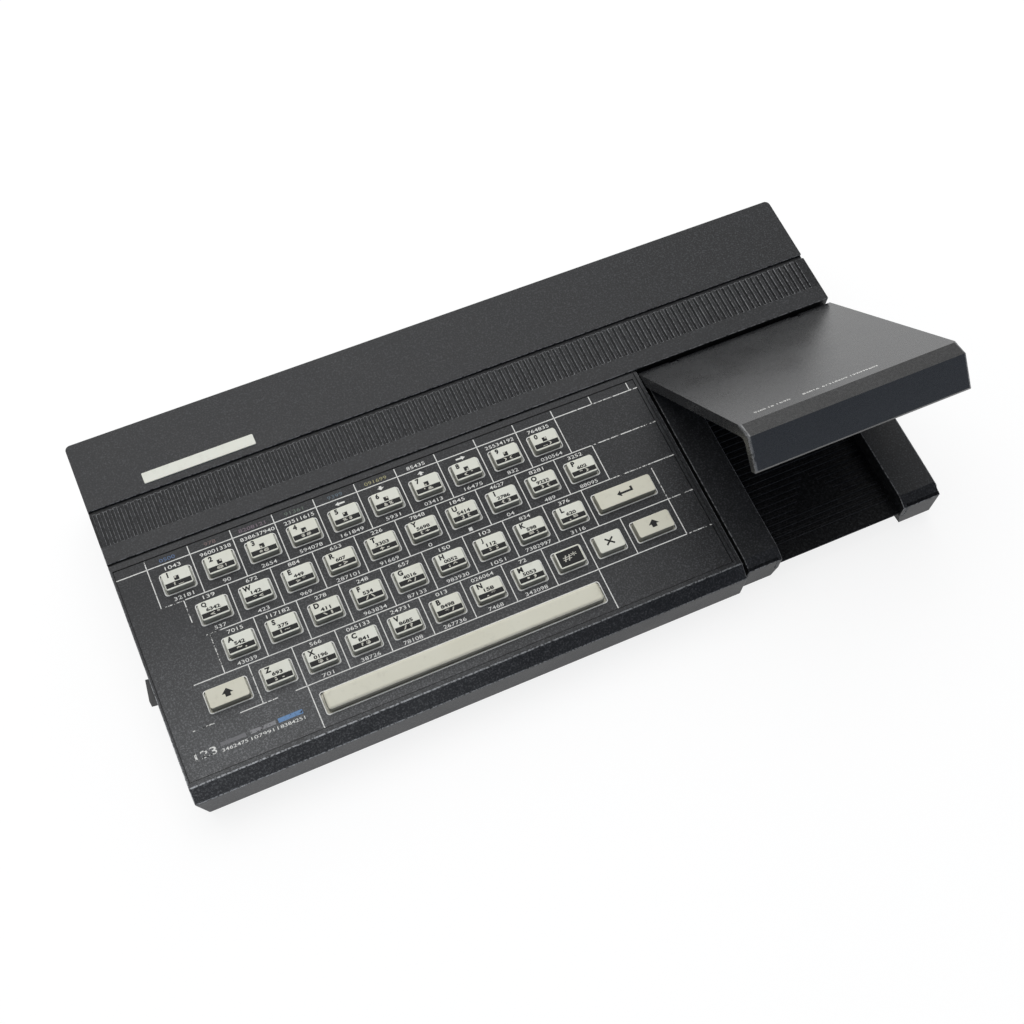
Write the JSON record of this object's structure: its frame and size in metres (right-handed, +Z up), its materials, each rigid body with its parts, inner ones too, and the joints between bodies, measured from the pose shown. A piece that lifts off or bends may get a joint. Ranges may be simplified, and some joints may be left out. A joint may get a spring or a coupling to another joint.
{
  "type": "vintage home computer",
  "caption": "Slim sloped charcoal home computer with cream sprung keys on a flat faceplate, a ribbed band behind them, and a cartridge bay under a hinged door at the right.",
  "frame": {"origin": "middle of the bounding box at the underside of the feet", "axes": "+Z up, +Y towards the back with the sockets, +X to the user's right"},
  "size_m": [0.371, 0.1776, 0.1036],
  "materials": {
    "case_plastic": "fine-grained charcoal moulding",
    "door_plastic": "satin charcoal moulding",
    "faceplate": "textured black paint",
    "key_plastic": "satin cream moulding",
    "dark_key_plastic": "satin black moulding",
    "steel": "plated",
    "rubber": "matte",
    "socket_plastic": "satin black",
    "circuit_board": "lacquered green laminate",
    "clear_film": "amber film"
  },
  "bodies": {
    "case": {"upper_case": "case_plastic", "lower_case": "case_plastic", "keyboard_faceplate": "faceplate", "dome_sheet": "rubber", "keyboard_backplate": "steel", "keyboard_ribbon": "clear_film", "main_board": "circuit_board", "cartridge_connector": "socket_plastic", "door_hinge_pins": "steel", "power_switch_body": "socket_plastic", "joystick_sockets": "steel", "audio_jacks": "socket_plastic", "video_jacks": "steel", "power_jack": "socket_plastic", "rubber_feet": "rubber", "screws": "steel"},
    "door": {"cartridge_door": "door_plastic"},
    "rocker": {"power_rocker": "socket_plastic"},
    "key_1": {"key_1": "key_plastic"},
    "key_2": {"key_2": "key_plastic"},
    "key_3": {"key_3": "key_plastic"},
    "key_4": {"key_4": "key_plastic"},
    "key_5": {"key_5": "key_plastic"},
    "key_6": {"key_6": "key_plastic"},
    "key_7": {"key_7": "key_plastic"},
    "key_8": {"key_8": "key_plastic"},
    "key_9": {"key_9": "key_plastic"},
    "key_0": {"key_0": "key_plastic"},
    "key_q": {"key_q": "key_plastic"},
    "key_w": {"key_w": "key_plastic"},
    "key_e": {"key_e": "key_plastic"},
    "key_r": {"key_r": "key_plastic"},
    "key_t": {"key_t": "key_plastic"},
    "key_y": {"key_y": "key_plastic"},
    "key_u": {"key_u": "key_plastic"},
    "key_i": {"key_i": "key_plastic"},
    "key_o": {"key_o": "key_plastic"},
    "key_p": {"key_p": "key_plastic"},
    "key_a": {"key_a": "key_plastic"},
    "key_s": {"key_s": "key_plastic"},
    "key_d": {"key_d": "key_plastic"},
    "key_f": {"key_f": "key_plastic"},
    "key_g": {"key_g": "key_plastic"},
    "key_h": {"key_h": "key_plastic"},
    "key_j": {"key_j": "key_plastic"},
    "key_k": {"key_k": "key_plastic"},
    "key_l": {"key_l": "key_plastic"},
    "key_enter": {"key_enter": "key_plastic"},
    "key_shift_left": {"key_shift_left": "key_plastic"},
    "key_z": {"key_z": "key_plastic"},
    "key_x": {"key_x": "key_plastic"},
    "key_c": {"key_c": "key_plastic"},
    "key_v": {"key_v": "key_plastic"},
    "key_b": {"key_b": "key_plastic"},
    "key_n": {"key_n": "key_plastic"},
    "key_m": {"key_m": "key_plastic"},
    "key_symbol": {"key_symbol": "dark_key_plastic"},
    "key_break": {"key_break": "key_plastic"},
    "key_shift_right": {"key_shift_right": "key_plastic"},
    "key_space": {"key_space": "key_plastic"}
  },
  "joints": [
    {"name": "door_hinge", "type": "hinge", "parent": "case", "child": "door", "pos_m": [0, 0.02204, 0.03712], "axis": [1, 0, 0], "range_deg": [-15, 45]},
    {"name": "rocker_pivot", "type": "hinge", "parent": "case", "child": "rocker", "pos_m": [-0.18068, -0.03348, 0.02373], "axis": [0, 0, 1], "range_deg": [0, 14]},
    {"name": "key_1_press", "type": "slide", "parent": "case", "child": "key_1", "axis": [0, 0.1392, -0.9903], "range_m": [0, 0.0018], "stiffness_N_per_m": 300, "springref_m": -0.0006, "deforming": ["dome_sheet"]},
    {"name": "key_2_press", "type": "slide", "parent": "case", "child": "key_2", "axis": [0, 0.1392, -0.9903], "range_m": [0, 0.0018], "stiffness_N_per_m": 300, "springref_m": -0.0006},
    {"name": "key_3_press", "type": "slide", "parent": "case", "child": "key_3", "axis": [0, 0.1392, -0.9903], "range_m": [0, 0.0018], "stiffness_N_per_m": 300, "springref_m": -0.0006},
    {"name": "key_4_press", "type": "slide", "parent": "case", "child": "key_4", "axis": [0, 0.1392, -0.9903], "range_m": [0, 0.0018], "stiffness_N_per_m": 300, "springref_m": -0.0006},
    {"name": "key_5_press", "type": "slide", "parent": "case", "child": "key_5", "axis": [0, 0.1392, -0.9903], "range_m": [0, 0.0018], "stiffness_N_per_m": 300, "springref_m": -0.0006},
    {"name": "key_6_press", "type": "slide", "parent": "case", "child": "key_6", "axis": [0, 0.1392, -0.9903], "range_m": [0, 0.0018], "stiffness_N_per_m": 300, "springref_m": -0.0006},
    {"name": "key_7_press", "type": "slide", "parent": "case", "child": "key_7", "axis": [0, 0.1392, -0.9903], "range_m": [0, 0.0018], "stiffness_N_per_m": 300, "springref_m": -0.0006},
    {"name": "key_8_press", "type": "slide", "parent": "case", "child": "key_8", "axis": [0, 0.1392, -0.9903], "range_m": [0, 0.0018], "stiffness_N_per_m": 300, "springref_m": -0.0006},
    {"name": "key_9_press", "type": "slide", "parent": "case", "child": "key_9", "axis": [0, 0.1392, -0.9903], "range_m": [0, 0.0018], "stiffness_N_per_m": 300, "springref_m": -0.0006},
    {"name": "key_0_press", "type": "slide", "parent": "case", "child": "key_0", "axis": [0, 0.1392, -0.9903], "range_m": [0, 0.0018], "stiffness_N_per_m": 300, "springref_m": -0.0006},
    {"name": "key_q_press", "type": "slide", "parent": "case", "child": "key_q", "axis": [0, 0.1392, -0.9903], "range_m": [0, 0.0018], "stiffness_N_per_m": 300, "springref_m": -0.0006},
    {"name": "key_w_press", "type": "slide", "parent": "case", "child": "key_w", "axis": [0, 0.1392, -0.9903], "range_m": [0, 0.0018], "stiffness_N_per_m": 300, "springref_m": -0.0006},
    {"name": "key_e_press", "type": "slide", "parent": "case", "child": "key_e", "axis": [0, 0.1392, -0.9903], "range_m": [0, 0.0018], "stiffness_N_per_m": 300, "springref_m": -0.0006},
    {"name": "key_r_press", "type": "slide", "parent": "case", "child": "key_r", "axis": [0, 0.1392, -0.9903], "range_m": [0, 0.0018], "stiffness_N_per_m": 300, "springref_m": -0.0006},
    {"name": "key_t_press", "type": "slide", "parent": "case", "child": "key_t", "axis": [0, 0.1392, -0.9903], "range_m": [0, 0.0018], "stiffness_N_per_m": 300, "springref_m": -0.0006},
    {"name": "key_y_press", "type": "slide", "parent": "case", "child": "key_y", "axis": [0, 0.1392, -0.9903], "range_m": [0, 0.0018], "stiffness_N_per_m": 300, "springref_m": -0.0006},
    {"name": "key_u_press", "type": "slide", "parent": "case", "child": "key_u", "axis": [0, 0.1392, -0.9903], "range_m": [0, 0.0018], "stiffness_N_per_m": 300, "springref_m": -0.0006},
    {"name": "key_i_press", "type": "slide", "parent": "case", "child": "key_i", "axis": [0, 0.1392, -0.9903], "range_m": [0, 0.0018], "stiffness_N_per_m": 300, "springref_m": -0.0006},
    {"name": "key_o_press", "type": "slide", "parent": "case", "child": "key_o", "axis": [0, 0.1392, -0.9903], "range_m": [0, 0.0018], "stiffness_N_per_m": 300, "springref_m": -0.0006},
    {"name": "key_p_press", "type": "slide", "parent": "case", "child": "key_p", "axis": [0, 0.1392, -0.9903], "range_m": [0, 0.0018], "stiffness_N_per_m": 300, "springref_m": -0.0006},
    {"name": "key_a_press", "type": "slide", "parent": "case", "child": "key_a", "axis": [0, 0.1392, -0.9903], "range_m": [0, 0.0018], "stiffness_N_per_m": 300, "springref_m": -0.0006},
    {"name": "key_s_press", "type": "slide", "parent": "case", "child": "key_s", "axis": [0, 0.1392, -0.9903], "range_m": [0, 0.0018], "stiffness_N_per_m": 300, "springref_m": -0.0006},
    {"name": "key_d_press", "type": "slide", "parent": "case", "child": "key_d", "axis": [0, 0.1392, -0.9903], "range_m": [0, 0.0018], "stiffness_N_per_m": 300, "springref_m": -0.0006},
    {"name": "key_f_press", "type": "slide", "parent": "case", "child": "key_f", "axis": [0, 0.1392, -0.9903], "range_m": [0, 0.0018], "stiffness_N_per_m": 300, "springref_m": -0.0006},
    {"name": "key_g_press", "type": "slide", "parent": "case", "child": "key_g", "axis": [0, 0.1392, -0.9903], "range_m": [0, 0.0018], "stiffness_N_per_m": 300, "springref_m": -0.0006},
    {"name": "key_h_press", "type": "slide", "parent": "case", "child": "key_h", "axis": [0, 0.1392, -0.9903], "range_m": [0, 0.0018], "stiffness_N_per_m": 300, "springref_m": -0.0006},
    {"name": "key_j_press", "type": "slide", "parent": "case", "child": "key_j", "axis": [0, 0.1392, -0.9903], "range_m": [0, 0.0018], "stiffness_N_per_m": 300, "springref_m": -0.0006},
    {"name": "key_k_press", "type": "slide", "parent": "case", "child": "key_k", "axis": [0, 0.1392, -0.9903], "range_m": [0, 0.0018], "stiffness_N_per_m": 300, "springref_m": -0.0006},
    {"name": "key_l_press", "type": "slide", "parent": "case", "child": "key_l", "axis": [0, 0.1392, -0.9903], "range_m": [0, 0.0018], "stiffness_N_per_m": 300, "springref_m": -0.0006},
    {"name": "key_enter_press", "type": "slide", "parent": "case", "child": "key_enter", "axis": [0, 0.1392, -0.9903], "range_m": [0, 0.0018], "stiffness_N_per_m": 300, "springref_m": -0.0006},
    {"name": "key_shift_left_press", "type": "slide", "parent": "case", "child": "key_shift_left", "axis": [0, 0.1392, -0.9903], "range_m": [0, 0.0018], "stiffness_N_per_m": 300, "springref_m": -0.0006},
    {"name": "key_z_press", "type": "slide", "parent": "case", "child": "key_z", "axis": [0, 0.1392, -0.9903], "range_m": [0, 0.0018], "stiffness_N_per_m": 300, "springref_m": -0.0006},
    {"name": "key_x_press", "type": "slide", "parent": "case", "child": "key_x", "axis": [0, 0.1392, -0.9903], "range_m": [0, 0.0018], "stiffness_N_per_m": 300, "springref_m": -0.0006},
    {"name": "key_c_press", "type": "slide", "parent": "case", "child": "key_c", "axis": [0, 0.1392, -0.9903], "range_m": [0, 0.0018], "stiffness_N_per_m": 300, "springref_m": -0.0006},
    {"name": "key_v_press", "type": "slide", "parent": "case", "child": "key_v", "axis": [0, 0.1392, -0.9903], "range_m": [0, 0.0018], "stiffness_N_per_m": 300, "springref_m": -0.0006},
    {"name": "key_b_press", "type": "slide", "parent": "case", "child": "key_b", "axis": [0, 0.1392, -0.9903], "range_m": [0, 0.0018], "stiffness_N_per_m": 300, "springref_m": -0.0006},
    {"name": "key_n_press", "type": "slide", "parent": "case", "child": "key_n", "axis": [0, 0.1392, -0.9903], "range_m": [0, 0.0018], "stiffness_N_per_m": 300, "springref_m": -0.0006},
    {"name": "key_m_press", "type": "slide", "parent": "case", "child": "key_m", "axis": [0, 0.1392, -0.9903], "range_m": [0, 0.0018], "stiffness_N_per_m": 300, "springref_m": -0.0006},
    {"name": "key_symbol_press", "type": "slide", "parent": "case", "child": "key_symbol", "axis": [0, 0.1392, -0.9903], "range_m": [0, 0.0018], "stiffness_N_per_m": 300, "springref_m": -0.0006},
    {"name": "key_break_press", "type": "slide", "parent": "case", "child": "key_break", "axis": [0, 0.1392, -0.9903], "range_m": [0, 0.0018], "stiffness_N_per_m": 300, "springref_m": -0.0006},
    {"name": "key_shift_right_press", "type": "slide", "parent": "case", "child": "key_shift_right", "axis": [0, 0.1392, -0.9903], "range_m": [0, 0.0018], "stiffness_N_per_m": 300, "springref_m": -0.0006},
    {"name": "key_space_press", "type": "slide", "parent": "case", "child": "key_space", "axis": [0, 0.1392, -0.9903], "range_m": [0, 0.0018], "stiffness_N_per_m": 300, "springref_m": -0.0006}
  ]
}
